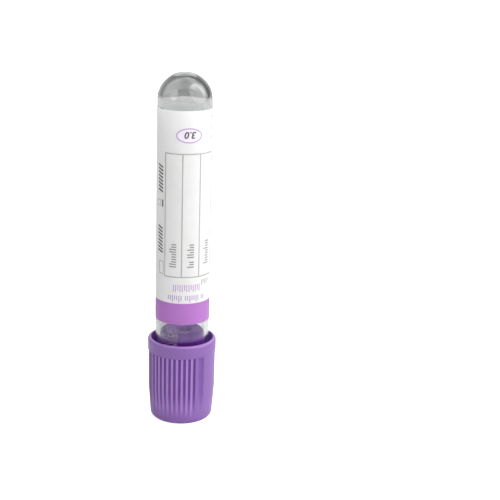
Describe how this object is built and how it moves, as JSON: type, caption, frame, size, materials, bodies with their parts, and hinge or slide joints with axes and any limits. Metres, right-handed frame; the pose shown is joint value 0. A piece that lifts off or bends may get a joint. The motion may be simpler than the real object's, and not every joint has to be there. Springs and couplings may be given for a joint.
{
  "type": "blood collection tube",
  "caption": "Evacuated blood collection tube: clear round-bottomed tube with a wrapped label, rubber stopper and purple fluted safety cap that twists and pulls off.",
  "frame": {"origin": "centre of the flat end of the safety cap, on which the part stands", "axes": "+Z along the common axis towards the round bottom of the tube; the front of the label faces -Y"},
  "size_m": [0.0166, 0.0166, 0.0852],
  "materials": {
    "cap_plastic": "moulded polyethylene, satin",
    "stopper_rubber": "moulded butyl rubber, matt",
    "tube_plastic": "clear moulded PET",
    "label_film": "white printed film"
  },
  "bodies": {
    "cap": {"safety_cap": "cap_plastic"},
    "stopper": {"rubber_stopper": "stopper_rubber"},
    "tube": {"clear_tube": "tube_plastic", "wrap_label": "label_film"}
  },
  "joints": [
    {"name": "closure_twist", "type": "hinge", "parent": "cap", "child": "stopper", "pos_m": [0, 0, 0.01], "axis": [0, 0, 1], "continuous": true},
    {"name": "closure_pull", "type": "slide", "parent": "stopper", "child": "tube", "axis": [0, 0, 1], "range_m": [0, 0.03]}
  ]
}
